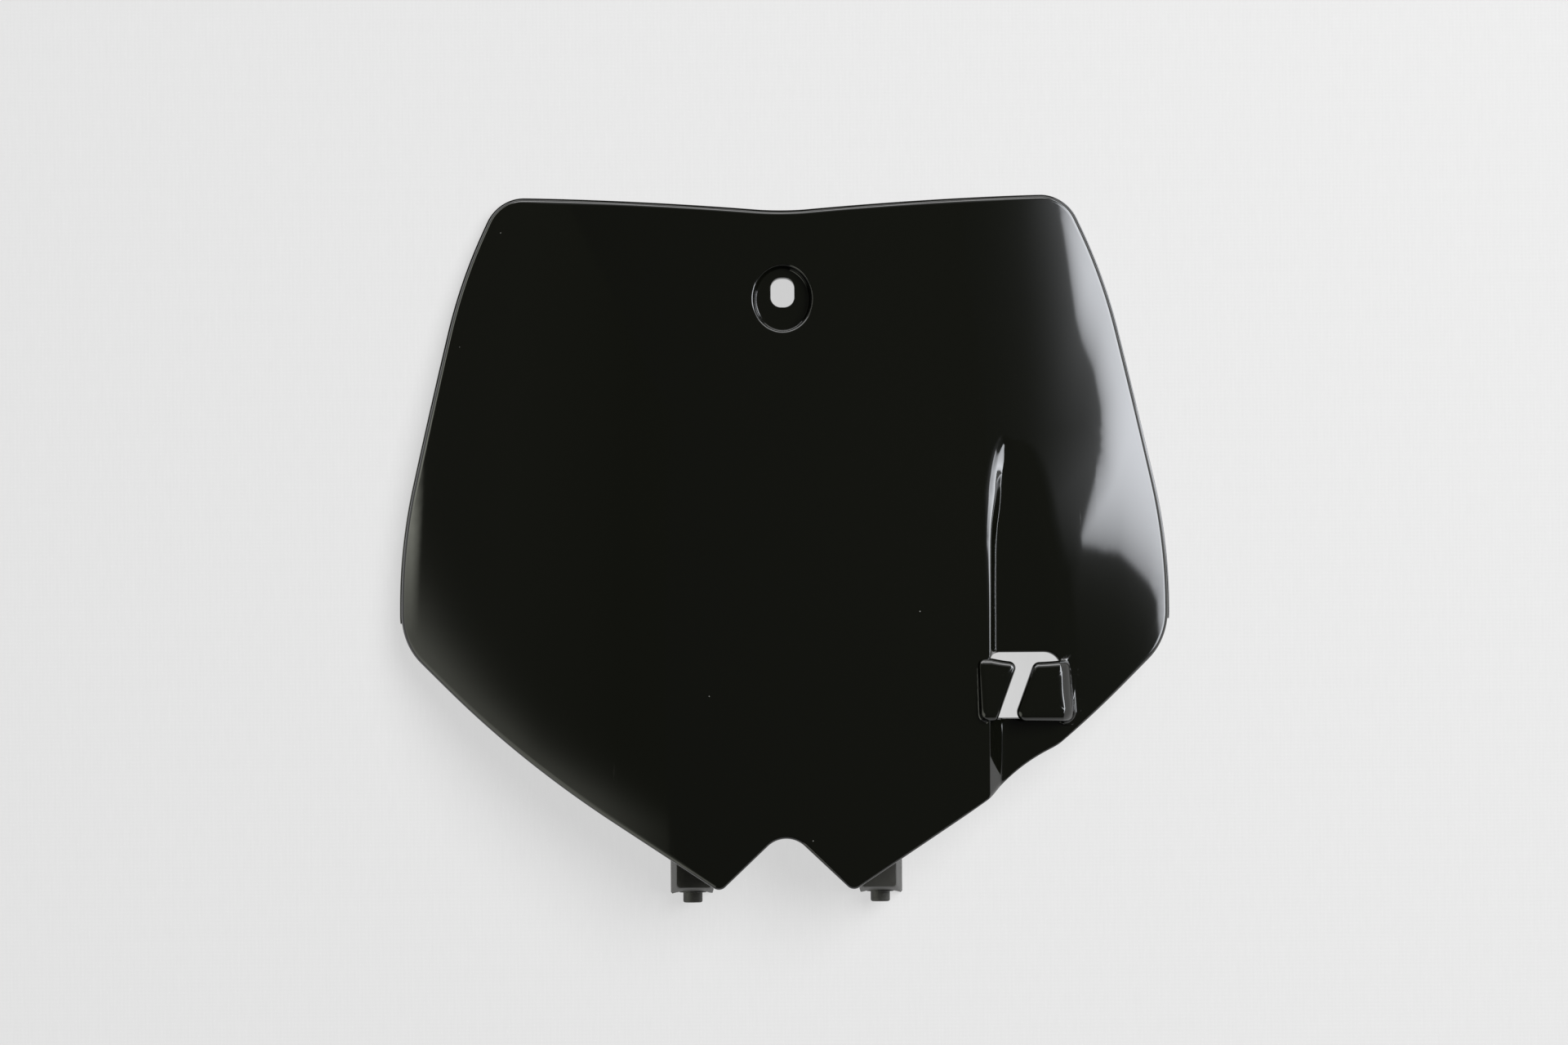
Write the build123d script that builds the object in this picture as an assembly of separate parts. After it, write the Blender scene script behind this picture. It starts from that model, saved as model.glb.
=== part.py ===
from build123d import *
import math
import os

# Front number plate of a motocross bike, moulded in one piece from black polypropylene.
# It is drawn in the mould's frame, in millimetres: X across the plate, Y up it, Z out of its face.
# At the end it is laid on its back as it rests on a bench: +Z up, centred, lowest points at Z = 0.

# Face: two radii across the plate, carried past its sides, turned about a level axis far behind it
wall = 2.6
crown_radius = 300.0
crown_half_width = 80.0
flank_radius = 140.0
flank_spare = 12.0
upright_radius = 600.0
edge_radius = 1.2

# Outline, right half: heights are measured from the middle of the face, insets from its widest line
dip_height = 104.25
dip_radius = 95.0
corner_inset = 33.3
corner_height = 113.4
corner_radius = 12.0
shoulder_inset = 20.6
shoulder_height = 85.6
shoulder_radius = 180.0
half_width = 128.9
waist_height = -3.0
waist_radius = 175.0
elbow_height = -36.2
elbow_radius = 23.0
belly_run = 58.6
belly_bulge = 6.07
belly_radius = 390.0
tip_half_width = 21.67
tip_height = -119.33
tip_radius = 3.0
notch_height = -98.9
notch_radius = 8.7

# Rim: a low wall behind the edge that stands a little outside it, from elbow to elbow over the top
rim_depth = 6.0
rim_wall = 2.2
rim_ledge = 0.8
rim_ledge_depth = 1.8
rim_end_height = -29.5

# Bolt recess with its slot
recess_height = 74.8
recess_half_width = 9.1
recess_half_length = 11.0
recess_depth = 5.0
recess_draft = 11.0
recess_brow_radius = 1.0
slot_width = 8.0
slot_length = 10.3
slot_rise = 2.4

# Hose channel: a steep wall on its inner side with a wide foot, and a flat floor that runs out into the flank
channel_x = 67.3
channel_start = 26.8
channel_slope = 5.8
channel_draft = 8.0
channel_foot_radius = 6.5
channel_brow_radius = 1.0

# Mouth of the channel: the edge is cut back in a wide arc where the channel leaves the plate
mouth_run = 15.1
mouth_depth = 2.93
mouth_radius = 59.8
mouth_corner_radius = 9.0

# Split clip over the channel, and the window behind it
clip_top = -45.0
clip_bottom = -64.5
clip_left = 62.9
clip_right = 95.6
clip_proud = 3.2
clip_fall = 9.0
clip_post_draft = 6.0
clip_wall = 2.7
clip_shoulder_radius = 7.5
clip_edge_radius = 0.9
slit_width = 5.2
slit_x = 75.2
slit_lean = 20.7
slit_corner_radius = 1.8
window_top = -41.6
window_bottom = -63.0
window_left = 67.6
window_right = 90.8
window_corner_radius = 2.2

# Lugs behind the two tips, measured at the step below the plate's edge, and the pegs under them
lug_inner = 24.8
lug_outer = 36.5
lug_bottom = -118.2
lug_top = -97.0
lug_side_draft = 7.0
lug_bottom_draft = 8.0
lug_wall = 2.2
lug_foot_wall = 3.3
lug_inset = 0.9
lug_corner_chamfer = 0.8
lug_step_depth = 34.0
lug_arch_rise = 1.1
lug_arch_depth = 42.0
peg_radius = 3.25
peg_depth = 49.0
peg_collar_radius = 4.6
peg_collar_height = -119.9
peg_end_height = -123.3
peg_end_chamfer = 0.6

# How the plate lies on a bench: its lower end is held up by the lugs
lean = 6.0

# Reach of the solids that others are cut from, and how near two lines count as one
reach = 150.0
depth_reach = 90.0
touch = 0.02


def crown_solid(depth):
    """All that lies deeper than the given depth under the face."""
    join = math.asin(crown_half_width / crown_radius)
    flank_center = (
        crown_half_width - flank_radius * math.sin(join),
        (crown_radius - flank_radius) * math.cos(join) - crown_radius,
    )
    sweep_angle = math.asin((half_width + flank_spare - flank_center[0]) / flank_radius) - join

    def on_flank(angle):
        radius = flank_radius - depth
        return (flank_center[0] + radius * math.sin(angle), flank_center[1] + radius * math.cos(angle))

    def mirrored(point):
        return (-point[0], point[1])

    start = on_flank(join)
    middle = on_flank(join + sweep_angle / 2)
    end = on_flank(join + sweep_angle)
    crown = ThreePointArc(mirrored(start), (0, -depth), start)
    right_flank = ThreePointArc(start, middle, end)
    left_flank = ThreePointArc(mirrored(end), mirrored(middle), mirrored(start))
    foot = Polyline(end, (end[0], -depth_reach), (-end[0], -depth_reach), mirrored(end))
    section = Plane.XZ * make_face([left_flank, crown, right_flank, foot])
    axis = Axis((0, 0, -upright_radius), (1, 0, 0))
    turn = math.degrees(math.asin(reach / (upright_radius - depth_reach)))
    return revolve(section.rotate(axis, -turn), axis, 2 * turn)


def face_height(x, y):
    """Height of the face over a point of the plan."""
    across = abs(x)
    join = crown_half_width / crown_radius
    sag = crown_radius - math.sqrt(crown_radius**2 - min(across, crown_half_width) ** 2)
    if across > crown_half_width:
        lean_sine = join + (across - crown_half_width) / flank_radius
        sag += flank_radius * (math.sqrt(1 - join**2) - math.sqrt(1 - lean_sine**2))
    return math.sqrt((upright_radius - sag) ** 2 - y**2) - upright_radius


def lies_on_face(edge):
    middle = edge.position_at(0.5)
    return abs(face_height(middle.X, middle.Y) - middle.Z) < touch


def belly():
    """The outline's corner between elbow and tip, set out from the line that joins them."""
    elbow = Vector(half_width, elbow_height)
    along = (Vector(tip_half_width, tip_height) - elbow).normalized()
    outward = Vector(-along.Y, along.X)
    return elbow + along * belly_run + outward * belly_bulge


def mouth_center():
    """Middle of the arc that cuts the edge back at the channel's mouth."""
    along = (Vector(tip_half_width, tip_height) - belly()).normalized()
    outward = Vector(-along.Y, along.X)
    foot = belly() + along * ((channel_x + mouth_run - belly().X) / along.X)
    return foot + outward * (mouth_radius - mouth_depth)


def outline(grow=0.0):
    """The plate's outline in plan with the channel's mouth, grown by a distance."""
    right = [
        (0, dip_height, dip_radius),
        (half_width - corner_inset, corner_height, corner_radius),
        (half_width - shoulder_inset, shoulder_height, shoulder_radius),
        (half_width, waist_height, waist_radius),
        (half_width, elbow_height, elbow_radius),
        (belly().X, belly().Y, belly_radius),
        (tip_half_width, tip_height, tip_radius),
        (0, notch_height, notch_radius),
    ]
    left = [(-x, y, r) for x, y, r in reversed(right[1:-1])]
    corners = right + left
    edge = FilletPolyline(*[(x, y) for x, y, r in corners], radius=[r for x, y, r in corners], close=True)
    plan = make_face(edge) - Pos(mouth_center()) * Circle(mouth_radius)

    def is_mouth_corner(vertex):
        return abs((Vector(*vertex) - mouth_center()).length - mouth_radius) < touch

    plan = fillet(plan.vertices().filter_by(is_mouth_corner), mouth_corner_radius)
    return offset(plan, grow) if grow else plan


def outline_prism(grow=0.0):
    return extrude(outline(grow), depth_reach, both=True)


def level_box(x0, x1, y0, y1, z0, z1):
    return Pos(x0, y0, z0) * Box(x1 - x0, y1 - y0, z1 - z0, align=Align.MIN)


def front_blank():
    """The solid block under the face, with the edge of its face rounded."""
    blank = crown_solid(0) & outline_prism()
    border = outline().wire()

    def follows_border(edge):
        middle = edge.position_at(0.5)
        return border.distance_to(Vector(middle.X, middle.Y, 0)) < touch

    def is_upright(edge):
        return abs((edge % 0.5).Z) > 1 - touch

    edges = blank.edges().filter_by(lies_on_face).filter_by(follows_border)
    return blank.fillet(edge_radius, edges.filter_by(is_upright, reverse=True))


def channel_floor():
    """The floor's plane, set at the foot of the wall. It meets the face where the foot's radius ends."""
    foot_run = channel_foot_radius * math.tan(math.radians(90 - channel_draft) / 2)
    height = face_height(channel_x + foot_run, channel_start)
    return Plane((channel_x, channel_start, height)).rotated((channel_slope, 0, 0))


def channel_cavity(grow=0.0):
    """The space of the hose channel, grown by a wall. Its floor is a plane that sinks towards the bottom."""
    draft = math.tan(math.radians(channel_draft))
    wall_foot = -grow / math.cos(math.radians(channel_draft))
    wall_top = wall_foot - (depth_reach + grow) * draft
    wall_and_floor = FilletPolyline(
        (wall_top, depth_reach),
        (wall_foot, -grow),
        (reach, -grow),
        (reach, depth_reach),
        radius=[channel_foot_radius + grow, 0],
    )
    section = make_face([wall_and_floor, Line((reach, depth_reach), (wall_top, depth_reach))])
    across = Plane((0, 0, 0), x_dir=(1, 0, 0), z_dir=(0, -1, 0))
    return channel_floor() * extrude(across * section, reach, both=True)


def cut_channel(block):
    """The channel is cut and the brow of its wall is rounded, down to where the foot's radius takes over."""
    block = block - channel_cavity()
    floor = channel_floor()
    draft = math.tan(math.radians(channel_draft))

    def is_brow(edge):
        middle = edge.position_at(0.5)
        floor_height = floor.origin.Z + (middle.Y - floor.origin.Y) * math.tan(math.radians(channel_slope))
        depth = middle.Z - floor_height
        beside_wall = abs(middle.X - channel_x + depth * draft) < channel_brow_radius
        return depth > channel_foot_radius and beside_wall

    return block.fillet(channel_brow_radius, block.edges().filter_by(lies_on_face).filter_by(is_brow))


def recess_cavity(grow=0.0):
    """The oval recess for the bolt's head, grown by a wall."""
    floor_height = face_height(0, recess_height) - recess_depth - grow
    flare = reach * math.tan(math.radians(recess_draft))
    low = Ellipse(recess_half_width + grow, recess_half_length + grow)
    high = Ellipse(recess_half_width + grow + flare, recess_half_length + grow + flare)
    at = Pos(0, recess_height, floor_height)
    return at * loft([Sketch() + low, Pos(0, 0, reach) * high], ruled=True)


def cut_recess(block):
    """The bolt's recess is cut and its brow is rounded."""
    block = block - recess_cavity()

    def is_brow(edge):
        middle = edge.position_at(0.5)
        return math.hypot(middle.X, middle.Y - recess_height) < recess_half_width + recess_half_length

    return block.fillet(recess_brow_radius, block.edges().filter_by(lies_on_face).filter_by(is_brow))


def shell():
    """The moulded skin, one wall thick, with the channel and the recess pressed into it."""
    front = cut_recess(cut_channel(front_blank()))
    back = crown_solid(wall) - channel_cavity(wall) - recess_cavity(wall)
    return front - back


def bolt_slot():
    plan = Rot(0, 0, 90) * SlotOverall(slot_length, slot_width)
    return Pos(0, recess_height + slot_rise, 0) * extrude(plan, depth_reach, both=True)


def window():
    """The window in the channel's floor behind the clip."""
    plan = Rectangle(window_right - window_left, window_top - window_bottom, align=Align.MIN)
    plan = fillet(plan.vertices(), window_corner_radius)
    return extrude(Pos(window_left, window_bottom, 0) * plan, depth_reach, both=True)


def rim():
    """The low wall behind the edge, from elbow to elbow over the top."""
    band = outline_prism(rim_ledge) - outline_prism(-rim_wall)
    band = band & (crown_solid(rim_ledge_depth) - crown_solid(rim_depth))
    return band & level_box(-reach, reach, rim_end_height, reach, -depth_reach, depth_reach)


def clip_front(x):
    """Height of the clip's front, which falls towards the flank as the face does."""
    level = face_height(clip_left, (clip_top + clip_bottom) / 2) + clip_proud
    return level - (x - clip_left) * math.tan(math.radians(clip_fall))


def clip_ceiling(x):
    """Height of the clip's underside."""
    return clip_front(x) - clip_wall / math.cos(math.radians(clip_fall))


def clip_band():
    """The bridge over the channel, from the face on its inner side to a post on the flank."""
    splay = (depth_reach + clip_front(clip_right)) * math.tan(math.radians(clip_post_draft))
    outer = FilletPolyline(
        (clip_left, -depth_reach),
        (clip_left, clip_front(clip_left)),
        (clip_right, clip_front(clip_right)),
        (clip_right + splay, -depth_reach),
        radius=[0, clip_shoulder_radius],
    )
    section = make_face([outer, Line((clip_right + splay, -depth_reach), (clip_left, -depth_reach))])
    band = Pos(0, clip_top, 0) * extrude(Plane.XZ * section, clip_top - clip_bottom)
    return band - crown_solid(wall / 2)


def hose_passage():
    """The room for the hose between the channel's floor and the clip."""
    right = clip_right - clip_wall
    splay = (depth_reach + clip_ceiling(right)) * math.tan(math.radians(clip_post_draft))
    roof = FilletPolyline(
        (0, -depth_reach),
        (0, clip_ceiling(0)),
        (right, clip_ceiling(right)),
        (right + splay, -depth_reach),
        radius=[0, clip_shoulder_radius - clip_wall],
    )
    section = make_face([roof, Line((right + splay, -depth_reach), (0, -depth_reach))])
    tunnel = Pos(0, reach, 0) * extrude(Plane.XZ * section, 2 * reach)
    return tunnel & channel_cavity()


def clip_slit():
    """The leaning slit through which the hose is pressed in."""
    middle = (clip_top + clip_bottom) / 2
    lean_offset = reach * math.tan(math.radians(slit_lean))
    plan = Polygon(
        (slit_x - slit_width / 2 - lean_offset, middle - reach),
        (slit_x + slit_width / 2 - lean_offset, middle - reach),
        (slit_x + slit_width / 2 + lean_offset, middle + reach),
        (slit_x - slit_width / 2 + lean_offset, middle + reach),
        align=None,
    )
    return extrude(plan, depth_reach, both=True)


def clip_fingers():
    """The two fingers of the clip, with rounded corners at the slit's upper end and rounded brows."""
    fingers = clip_band() - hose_passage() - clip_slit()

    def is_slit_corner(edge):
        upper_end = edge.center().Y > (clip_top + clip_bottom) / 2
        return upper_end and clip_left + clip_wall < edge.center().X < clip_right - clip_shoulder_radius

    def is_brow(edge):
        return edge.center().Z > clip_front(edge.center().X) - clip_wall / 2

    fingers = fillet(fingers.edges().filter_by(Axis.Z).filter_by(is_slit_corner), slit_corner_radius)
    return fillet(fingers.edges().filter_by(is_brow), clip_edge_radius)


def lug_box(side_inset, foot_inset, top_depth):
    """A drafted box behind the right tip, from a depth down past the bench."""
    side = math.tan(math.radians(lug_side_draft))
    under = math.tan(math.radians(lug_bottom_draft))

    def section(depth):
        below_step = depth - lug_step_depth
        left = lug_inner + side_inset
        right = lug_outer + below_step * side - side_inset
        low = lug_bottom - below_step * under + foot_inset
        high = lug_top - side_inset
        plan = Rectangle(right - left, high - low, align=Align.MIN)
        return Pos(left, low, -depth) * chamfer(plan.vertices(), lug_corner_chamfer)

    return loft([section(top_depth), section(depth_reach)], ruled=True)


def lug_leg():
    """The hollow leg: its front follows the tip's edge down to a step, and its box goes on behind."""
    everything = (-reach, reach, -reach, reach, -depth_reach)
    leg = lug_box(0, 0, wall)
    upper = leg & outline_prism(-lug_inset) & crown_solid(wall / 2)
    leg = (leg & level_box(*everything, -lug_step_depth)) + upper
    hollow = lug_box(lug_wall, lug_foot_wall, wall)
    upper = hollow & outline_prism(-lug_inset - lug_wall) & crown_solid(wall)
    hollow = (hollow & level_box(*everything, -lug_step_depth - lug_wall)) + upper
    return leg - hollow


def lug_middle():
    """Middle of the lug's foot across the plate, at the peg's depth."""
    return (lug_inner + lug_outer + (peg_depth - lug_step_depth) * math.tan(math.radians(lug_side_draft))) / 2


def lug_foot():
    """Height of the lug's foot at the peg's depth."""
    return lug_bottom - (peg_depth - lug_step_depth) * math.tan(math.radians(lug_bottom_draft))


def lug_arch():
    """The hollow arch under the lug's foot."""
    half_span = lug_middle() - lug_inner
    radius = (half_span**2 + lug_arch_rise**2) / (2 * lug_arch_rise)
    top = lug_foot() + lug_arch_rise
    below = depth_reach - lug_arch_depth
    return Pos(lug_middle(), top - radius, -depth_reach) * extrude(Circle(radius), below)


def peg():
    """The round peg under the lug, with a flat collar at its root and a chamfered end."""
    root = lug_foot() + lug_foot_wall / 2
    pin = extrude(Circle(peg_radius), root - peg_end_height)
    pin = chamfer(pin.faces().sort_by(Axis.Z)[-1].edges(), peg_end_chamfer)
    collar = extrude(Circle(peg_collar_radius), root - peg_collar_height)
    return Pos(lug_middle(), root, -peg_depth) * Rot(90, 0, 0) * (pin + collar)


def laid_down(piece):
    return Rot(-lean, 0, 0) * piece


def lug():
    """A lug with its peg, cut off where it meets the bench that the rim rests on."""
    bench = laid_down(rim()).bounding_box().min.Z
    above_bench = level_box(-reach, reach, -reach, reach, bench, bench + 2 * depth_reach)
    return (lug_leg() - lug_arch() + peg()) & (Rot(lean, 0, 0) * above_bench)


def number_board():
    """The whole plate as it lies on a bench."""
    right_lug = lug()
    board = shell() + right_lug + mirror(right_lug, Plane.YZ)
    board = laid_down(board - bolt_slot() - window() + rim() + clip_fingers())
    box = board.bounding_box()
    return Pos(-box.center().X, -box.center().Y, -box.min.Z) * board


os.makedirs("parts", exist_ok=True)
board = number_board()
board.label = "number_board"
export_step(board, "parts/number_board.step")
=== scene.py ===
import math
import bmesh
import bpy
import numpy as np
from mathutils import Matrix, Vector
from mathutils.geometry import delaunay_2d_cdt
from mathutils.kdtree import KDTree


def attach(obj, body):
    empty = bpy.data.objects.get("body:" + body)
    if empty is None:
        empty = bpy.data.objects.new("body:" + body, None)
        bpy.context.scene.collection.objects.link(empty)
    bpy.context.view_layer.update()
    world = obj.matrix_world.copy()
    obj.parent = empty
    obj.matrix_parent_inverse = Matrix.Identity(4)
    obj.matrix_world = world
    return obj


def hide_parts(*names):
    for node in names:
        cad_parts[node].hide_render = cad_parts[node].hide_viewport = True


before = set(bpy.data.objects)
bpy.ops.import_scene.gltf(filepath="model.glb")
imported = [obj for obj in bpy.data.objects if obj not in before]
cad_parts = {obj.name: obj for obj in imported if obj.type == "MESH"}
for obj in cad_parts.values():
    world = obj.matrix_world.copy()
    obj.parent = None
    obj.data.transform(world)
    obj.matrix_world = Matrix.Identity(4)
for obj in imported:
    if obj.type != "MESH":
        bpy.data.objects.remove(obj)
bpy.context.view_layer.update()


# Black plastic
# The whole plate is one moulding in gloss black polypropylene. The polished mould leaves a mirror that is slightly
# wavy, so lamps show in it with soft, uneven edges. Handling leaves hair-thin scratches and a few specks of dust.

def linear(code):
    """A colour given as sRGB hex, turned to linear."""
    parts = [int(code[i:i + 2], 16) / 255 for i in (1, 3, 5)]
    return tuple(c / 12.92 if c <= 0.04045 else ((c + 0.055) / 1.055) ** 2.4 for c in parts) + (1.0,)


def add(tree, kind, *links, **settings):
    """A new node with its settings, its inputs linked to a socket or set to a value."""
    node = tree.nodes.new(kind)
    for name, value in settings.items():
        setattr(node, name, value)
    for key, value in links:
        if isinstance(value, bpy.types.NodeSocket):
            tree.links.new(value, node.inputs[key])
        else:
            node.inputs[key].default_value = value
    return node


plastic = bpy.data.materials.new("gloss_black_moulded_polypropylene")
plastic.use_nodes = True
tree = plastic.node_tree
shader = tree.nodes["Principled BSDF"]
place = add(tree, "ShaderNodeTexCoord").outputs["Object"]

# Sink marks and flow of the melt: waves about 35 mm long and some hundredths of a millimetre high
waves = add(tree, "ShaderNodeTexNoise", ("Vector", place), ("Scale", 28.0), ("Detail", 1.0), ("Roughness", 0.4))
wavy = add(tree, "ShaderNodeBump", ("Height", waves.outputs["Fac"]), ("Strength", 1.0), ("Distance", 0.00006))

# Hair-thin scratches: the peaks of a noise stretched to 1 by 18 mm, only where one of 20 mm patches lets them show
stretched = add(
    tree, "ShaderNodeMapping", ("Vector", place), ("Rotation", (0.0, 0.0, 0.6)), ("Scale", (900.0, 55.0, 300.0)),
)
hairs = add(tree, "ShaderNodeTexNoise", ("Vector", stretched.outputs[0]), ("Scale", 1.0), ("Detail", 3.0))
patches = add(tree, "ShaderNodeTexNoise", ("Vector", place), ("Scale", 45.0), ("Detail", 2.0))
hair_mask = add(tree, "ShaderNodeMapRange", ("Value", hairs.outputs["Fac"]), ("From Min", 0.66), ("From Max", 0.78))
patch_mask = add(tree, "ShaderNodeMapRange", ("Value", patches.outputs["Fac"]), ("From Min", 0.5), ("From Max", 0.72))
worn = add(tree, "ShaderNodeMath", (0, hair_mask.outputs[0]), (1, patch_mask.outputs[0]), operation="MULTIPLY")
sheen = add(tree, "ShaderNodeMapRange", ("Value", worn.outputs[0]), ("To Min", 0.055), ("To Max", 0.25))

# Dust: one pale speck of about a quarter of a millimetre in some of the 12 mm cells
cells = add(tree, "ShaderNodeTexVoronoi", ("Vector", place), ("Scale", 85.0), ("Randomness", 1.0))
speck = add(
    tree, "ShaderNodeMapRange", ("Value", cells.outputs["Distance"]), ("From Min", 0.012), ("From Max", 0.02),
    ("To Min", 1.0), ("To Max", 0.0),
)
lottery = add(tree, "ShaderNodeSeparateColor", ("Color", cells.outputs["Color"]))
chosen = add(tree, "ShaderNodeMath", (0, lottery.outputs[0]), (1, 0.62), operation="GREATER_THAN")
dust = add(tree, "ShaderNodeMath", (0, speck.outputs[0]), (1, chosen.outputs[0]), operation="MULTIPLY")

# Behind the face the mould is left spark-eroded, so the lugs are matte and scatter a little light
matte = add(tree, "ShaderNodeAttribute", attribute_name="matte").outputs["Fac"]
grain = add(tree, "ShaderNodeMix", (0, matte), ("A", linear("#0d0e09")), ("B", linear("#3a3a37")), data_type="RGBA")
tint = add(
    tree, "ShaderNodeMix", (0, dust.outputs[0]), ("A", grain.outputs["Result"]), ("B", linear("#8a8a86")),
    data_type="RGBA",
)
rough = add(tree, "ShaderNodeMath", (0, matte), (1, 0.45), (2, sheen.outputs[0]), operation="MULTIPLY_ADD")
tree.links.new(tint.outputs["Result"], shader.inputs["Base Color"])
tree.links.new(rough.outputs[0], shader.inputs["Roughness"])
tree.links.new(wavy.outputs[0], shader.inputs["Normal"])
shader.inputs["IOR"].default_value = 1.49


# Shell of the plate
# The skin is 2.6 mm thick. Across, it has two radii, and it is turned about a level axis far behind it. The bolt's
# recess, the hose channel and the window are pressed into it. Sizes are millimetres in the mould's frame.

wall = 2.6
crown_radius, crown_half_width, flank_radius, upright_radius = 300.0, 80.0, 140.0, 600.0
edge_radius = 1.2


def crown(x, y, depth=0.0):
    """Height of the face, or of the surface that lies the given depth behind it."""
    across = np.abs(x)
    sine = crown_half_width / crown_radius
    middle_x = crown_half_width - flank_radius * sine
    middle_z = (crown_radius - flank_radius) * math.sqrt(1 - sine**2) - crown_radius
    join = (crown_radius - depth) * sine
    inner = np.sqrt((crown_radius - depth) ** 2 - np.minimum(across, join) ** 2) - crown_radius
    outer = middle_z + np.sqrt((flank_radius - depth) ** 2 - np.clip(across - middle_x, 0, 100) ** 2)
    section = np.where(across <= join, inner, outer)
    return np.sqrt((upright_radius + section) ** 2 - y**2) - upright_radius


def rounded(corners, inset=0.0, arc=12, run=12):
    """Points round a closed polygon, its corners (x, y, radius) rounded and all of it moved inwards."""
    spots = []
    count = len(corners)
    for i, (x, y, radius) in enumerate(corners):
        here = np.array((x, y), float)
        back = np.array(corners[i - 1][:2]) - here
        ahead = np.array(corners[(i + 1) % count][:2]) - here
        back /= np.linalg.norm(back)
        ahead /= np.linalg.norm(ahead)
        half = math.acos(np.dot(back, ahead)) / 2
        inward = (back + ahead) / np.linalg.norm(back + ahead)
        convex = 1 if back[0] * ahead[1] - back[1] * ahead[0] > 0 else -1
        here = here + inward * convex * inset / math.sin(half)
        radius = max(radius - convex * inset, 0.05)
        middle = here + inward * radius / math.sin(half)
        first = here + back * radius / math.tan(half) - middle
        sweep = -convex * (math.pi - 2 * half)
        for angle in np.linspace(0, sweep, arc):
            turn = np.array(((math.cos(angle), -math.sin(angle)), (math.sin(angle), math.cos(angle))))
            spots.append((middle + turn @ first, angle == sweep))
    path = []
    for i, (spot, last) in enumerate(spots):
        path.append(spot)
        if last:
            after = spots[(i + 1) % len(spots)][0]
            path += [spot + (after - spot) * k / run for k in range(1, run)]
    return np.array(path)


def spaced(loop, spacing):
    """Points picked along a dense closed loop so that neighbours lie the given spacing apart."""
    closed = np.vstack((loop, loop[:1]))
    steps = np.hypot(*np.diff(closed, axis=0).T)
    weight = np.concatenate(((0.0,), np.cumsum(steps / spacing)))
    places = np.linspace(0, weight[-1], int(round(weight[-1])), endpoint=False)
    index = np.interp(places, weight, np.arange(len(closed)))
    return np.stack([np.interp(index, np.arange(len(closed)), closed[:, k]) for k in (0, 1)], 1)


def outward(loop):
    """Unit vectors square to a loop that runs clockwise, away from what it encloses."""
    ahead = np.roll(loop, -1, 0) - np.roll(loop, 1, 0)
    ahead /= np.linalg.norm(ahead, axis=1)[:, None]
    return np.stack((-ahead[:, 1], ahead[:, 0]), 1)


def drop(distance, radius):
    """How far a rounded edge lies below its face, at a distance inside the edge."""
    left = np.clip(radius - distance, 0, radius)
    return radius - np.sqrt(radius**2 - left**2)


right_half = [
    (0, 104.25, 95), (95.6, 113.4, 12), (108.3, 85.6, 180), (128.9, -3, 175), (128.9, -36.2, 23),
    (86.3, -76.9, 390), (21.67, -119.33, 3), (0, -98.9, 8.7),
]
outline = rounded(right_half + [(-x, y, r) for x, y, r in reversed(right_half[1:-1])], arc=500, run=150)
mouth, mouth_radius, mouth_blend = np.array((113.6, -127.0)), 59.8, 0.6
from_mouth = outline - mouth
apart = np.hypot(*from_mouth.T)
blend = np.maximum(mouth_blend - np.abs(apart - mouth_radius), 0) ** 2 / (4 * mouth_blend)
kept_apart = np.maximum(apart, mouth_radius) + blend
outline = spaced(mouth + from_mouth * (kept_apart / apart)[:, None], 0.05)

# Hose channel: its wall starts as a slanted facet at the tip and grows steeper downwards, with a rolled brow and a
# rounded foot. The floor is scooped at the tip and then sinks evenly towards the bottom.
channel_x, channel_y, channel_slope, channel_draft = 67.3, 26.8, math.radians(5.8), math.radians(8)
channel_foot, foot_line, run_out = 6.5, 72.7, 1.6
channel_zero = float(crown(72.95, channel_y))
stations = np.arange(-130.0, 60.0, 0.25)


def eased(places, values, width=3.0):
    """A value given at some heights of the plate, joined by lines and then smoothed."""
    count = int(width / 0.25)
    kernel = np.hanning(2 * count + 3)[1:-1]
    row = np.interp(stations, places, values)
    padded = np.concatenate((np.full(count, row[0]), row, np.full(count, row[-1])))
    return np.convolve(padded, kernel / kernel.sum(), "valid")


brow_heights = (-33, -15, -5.4, 0, 5.2, 9.5, 13.7, 17.9, 20, 22.3, 24.4, 26.6, 28, 30)
brow_places = (66.45, 66.45, 66.5, 66.75, 67.1, 67.4, 67.85, 68.5, 68.95, 69.55, 70.2, 71.3, 72.2, 73.6)
brow_line = eased(brow_heights, brow_places, 1.5)
brow_radius = eased((-66, -46, -20, -8, 0, 5, 10.5, 14), (1.0, 2.4, 3.6, 4.0, 4.6, 6.2, 8.4, 7.5))
wall_heights = (-66, -46, -20, -8, 0, 5, 10.5, 14, 17, 19, 21)
wall_pitch = np.radians(eased(wall_heights, (58, 75, 75, 71, 64, 58, 53, 49.5, 46, 43, 40.5)))
foot_limit = eased((-72, -60, 12, 20), (4.5, 0.9, 0.9, 9.0))
scoop = eased((-40, -20, 0, 8, 16, 23, 26.6, 28.4), (0, 0.15, 0.55, 0.95, 1.25, 1.3, 1.05, 0.1), 1.5)


def along_channel(values, y):
    return np.interp(y, stations, values)


def channel_floor(x, y, depth):
    level = channel_zero + (y - channel_y) * math.tan(channel_slope)
    return level - depth / math.cos(channel_slope) - along_channel(scoop, y)


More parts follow.
